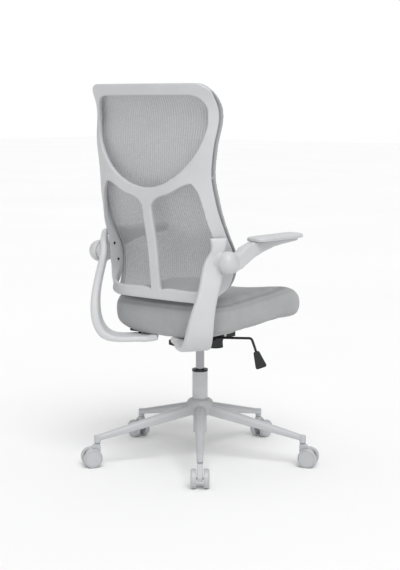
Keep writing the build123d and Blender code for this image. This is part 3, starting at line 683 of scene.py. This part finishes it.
def make_wing_screws():
    """Button-head screws on each wing's inner face, with a round socket."""
    shell = bpy.data.objects["back_shell"]
    tree = search_tree(shell)
    mesh = bmesh.new()
    profile = [
        (0.0, 0.0012), (0.0014, 0.0012), (0.0014, 0.0026), (0.0030, 0.0024), (0.0042, 0.0014),
        (0.0045, -0.001),
    ]
    steps = [2 * math.pi * k / SCREW_SIDES for k in range(SCREW_SIDES)]
    for sign in (-1, 1):
        for y, z in ((0.164, 0.705), (0.147, 0.652)):
            place, normal = tree.ray_cast(Vector((0.10 * sign, y, z)), Vector((sign, 0, 0)))[:2]
            if place is None:
                place, normal = Vector((0.212 * sign, y, z)), Vector((-sign, 0, 0))
            turn = normal.to_track_quat("Z", "Y").to_matrix()
            loops = []
            for radius, height in profile:
                ring = [Vector((radius * math.cos(a), radius * math.sin(a), height)) for a in steps]
                if not radius:
                    ring = ring[:1]
                loops.append([mesh.verts.new(place + turn @ point) for point in ring])
            for k in range(SCREW_SIDES):
                mesh.faces.new((loops[0][0], loops[1][k], loops[1][(k + 1) % SCREW_SIDES]))
            for inner, outer in zip(loops[1:], loops[2:]):
                for k in range(SCREW_SIDES):
                    j = (k + 1) % SCREW_SIDES
                    mesh.faces.new((inner[k], outer[k], outer[j], inner[j]))
    data = bpy.data.meshes.new("screw_heads")
    mesh.to_mesh(data)
    mesh.free()
    piece = bpy.data.objects.new("screw_heads", data)
    bpy.context.collection.objects.link(piece)
    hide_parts("wing_screws")
    finish_piece(piece, BLACK_STEEL, "seat")


make_wing_screws()
make_mesh()
make_cushion()
make_pan()
make_arm_pad("left")
make_arm_pad("right")


# ====================================================================================================
# Stage, light and camera
# ====================================================================================================
def make_stage():
    """A plain pale floor."""
    sheet = bmesh.new()
    bmesh.ops.create_grid(sheet, x_segments=8, y_segments=8, size=30.0)
    data = bpy.data.meshes.new("floor")
    sheet.to_mesh(data)
    sheet.free()
    floor = bpy.data.objects.new("floor", data)
    bpy.context.collection.objects.link(floor)
    n = Nodes("floor_paper")
    tones = [(0.3, (0.90, 0.90, 0.90)), (0.7, (0.92, 0.92, 0.92))]
    n.put(n.shader.inputs["Base Color"], n.ramp(n.noise(0.5), tones))
    n.shader.inputs["Roughness"].default_value = 0.9
    data.materials.append(n.material)


def make_world():
    """A white studio. Gloss sees dark flags at both sides, which give chrome and plastic shape."""
    world = bpy.data.worlds.new("studio")
    world.use_nodes = True
    tree = world.node_tree
    light = tree.nodes["Background"]
    light.inputs["Color"].default_value = (1.0, 1.0, 1.0, 1.0)
    light.inputs["Strength"].default_value = WORLD_LIGHT
    flags = tree.nodes.new("ShaderNodeBackground")
    where = tree.nodes.new("ShaderNodeTexCoord")
    across = tree.nodes.new("ShaderNodeVectorMath")
    across.operation = "DOT_PRODUCT"
    across.inputs[1].default_value = (math.cos(CAMERA_TURN), math.sin(CAMERA_TURN), 0.0)
    size = tree.nodes.new("ShaderNodeMath")
    size.operation = "ABSOLUTE"
    ramp = tree.nodes.new("ShaderNodeValToRGB")
    ramp.color_ramp.elements[0].position = 0.30
    ramp.color_ramp.elements[0].color = (1.0, 1.0, 1.0, 1.0)
    ramp.color_ramp.elements[1].position = 0.62
    ramp.color_ramp.elements[1].color = (0.04, 0.04, 0.04, 1.0)
    backdrop = tree.nodes.new("ShaderNodeBackground")
    backdrop.inputs["Color"].default_value = (1.0, 1.0, 1.0, 1.0)
    ray = tree.nodes.new("ShaderNodeLightPath")
    gloss = tree.nodes.new("ShaderNodeMixShader")
    view = tree.nodes.new("ShaderNodeMixShader")
    for start, end in (
        (where.outputs["Generated"], across.inputs[0]), (across.outputs["Value"], size.inputs[0]),
        (size.outputs[0], ramp.inputs[0]), (ramp.outputs[0], flags.inputs["Color"]),
        (ray.outputs["Is Glossy Ray"], gloss.inputs[0]), (light.outputs[0], gloss.inputs[1]),
        (flags.outputs[0], gloss.inputs[2]), (ray.outputs["Is Camera Ray"], view.inputs[0]),
        (gloss.outputs[0], view.inputs[1]), (backdrop.outputs[0], view.inputs[2]),
        (view.outputs[0], tree.nodes["World Output"].inputs["Surface"]),
    ):
        tree.links.new(start, end)
    bpy.context.scene.world = world


def sun_light(name, place, angle, strength):
    light = bpy.data.lights.new(name, "SUN")
    light.angle = math.radians(angle)
    light.energy = strength
    lamp = bpy.data.objects.new(name, light)
    lamp.rotation_euler = (-Vector(place)).to_track_quat("-Z", "Y").to_euler()
    bpy.context.collection.objects.link(lamp)


make_stage()
make_world()
sun_light("key", (-3.4, 2.6, 5.4), 40.0, 1.75)
bpy.context.scene.view_settings.view_transform = "Standard"

camera = bpy.data.cameras.new("camera")
camera.lens = LENS
camera.sensor_width = 36.0
camera.clip_end = 100.0
view = bpy.data.objects.new("camera", camera)
view.location = (
    -CAMERA_DISTANCE * math.sin(CAMERA_TURN), CAMERA_DISTANCE * math.cos(CAMERA_TURN), CAMERA_HEIGHT,
)
view.rotation_euler = (math.radians(90) - CAMERA_PITCH, 0.0, math.radians(180) + CAMERA_TURN)
bpy.context.collection.objects.link(view)
bpy.context.scene.camera = view
